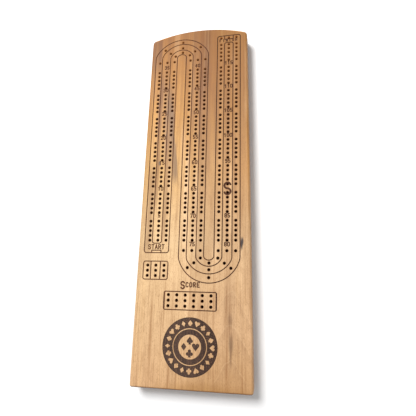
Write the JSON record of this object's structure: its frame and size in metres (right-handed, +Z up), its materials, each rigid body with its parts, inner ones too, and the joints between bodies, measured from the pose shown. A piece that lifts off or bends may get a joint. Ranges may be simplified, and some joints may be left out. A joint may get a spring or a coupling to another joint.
{
  "type": "cribbage board",
  "caption": "Arch-ended wooden cribbage board with a drilled three-lane track, score holes and a peg compartment under a swinging cover.",
  "frame": {"origin": "on the surface the board stands on, below the middle of its outline", "axes": "+Z up out of the playing face, +Y lengthwise towards the arched end, +X across to the right as read"},
  "size_m": [0.142, 0.4662, 0.023],
  "materials": {
    "plank_wood": "oiled, satin",
    "cover_brass": "brushed",
    "screw_brass": "polished",
    "washer_nylon": "matt",
    "foot_rubber": "matt",
    "peg_brass": "turned, bright",
    "peg_nickel": "turned, bright",
    "peg_black": "satin black"
  },
  "bodies": {
    "board": {"board": "plank_wood", "pivot_screw": "screw_brass", "catch_screw": "screw_brass", "pivot_washer": "washer_nylon", "foot_near_left": "foot_rubber", "foot_near_right": "foot_rubber", "foot_arch_left": "foot_rubber", "foot_arch_right": "foot_rubber"},
    "cover": {"storage_cover": "cover_brass"},
    "peg_brass_1": {"peg_brass_1": "peg_brass"},
    "peg_brass_2": {"peg_brass_2": "peg_brass"},
    "peg_brass_3": {"peg_brass_3": "peg_brass"},
    "peg_nickel_1": {"peg_nickel_1": "peg_nickel"},
    "peg_nickel_2": {"peg_nickel_2": "peg_nickel"},
    "peg_nickel_3": {"peg_nickel_3": "peg_nickel"},
    "peg_black_1": {"peg_black_1": "peg_black"},
    "peg_black_2": {"peg_black_2": "peg_black"},
    "peg_black_3": {"peg_black_3": "peg_black"}
  },
  "joints": [
    {"name": "cover_swing", "type": "hinge", "parent": "board", "child": "cover", "pos_m": [-0.00105, -0.1502, 0.003], "axis": [0, 0, 1], "range_deg": [0, 180]},
    {"name": "peg_brass_1_slide", "type": "slide", "parent": "board", "child": "peg_brass_1", "axis": [0, 1, 0], "range_m": [-0.03, 0]},
    {"name": "peg_brass_2_slide", "type": "slide", "parent": "board", "child": "peg_brass_2", "axis": [0, 1, 0], "range_m": [-0.03, 0]},
    {"name": "peg_brass_3_slide", "type": "slide", "parent": "board", "child": "peg_brass_3", "axis": [0, 1, 0], "range_m": [-0.03, 0]},
    {"name": "peg_nickel_1_slide", "type": "slide", "parent": "board", "child": "peg_nickel_1", "axis": [0, 1, 0], "range_m": [-0.03, 0]},
    {"name": "peg_nickel_2_slide", "type": "slide", "parent": "board", "child": "peg_nickel_2", "axis": [0, 1, 0], "range_m": [-0.03, 0]},
    {"name": "peg_nickel_3_slide", "type": "slide", "parent": "board", "child": "peg_nickel_3", "axis": [0, 1, 0], "range_m": [-0.03, 0]},
    {"name": "peg_black_1_slide", "type": "slide", "parent": "board", "child": "peg_black_1", "axis": [0, 1, 0], "range_m": [-0.03, 0]},
    {"name": "peg_black_2_slide", "type": "slide", "parent": "board", "child": "peg_black_2", "axis": [0, 1, 0], "range_m": [-0.03, 0]},
    {"name": "peg_black_3_slide", "type": "slide", "parent": "board", "child": "peg_black_3", "axis": [0, 1, 0], "range_m": [-0.03, 0]}
  ]
}
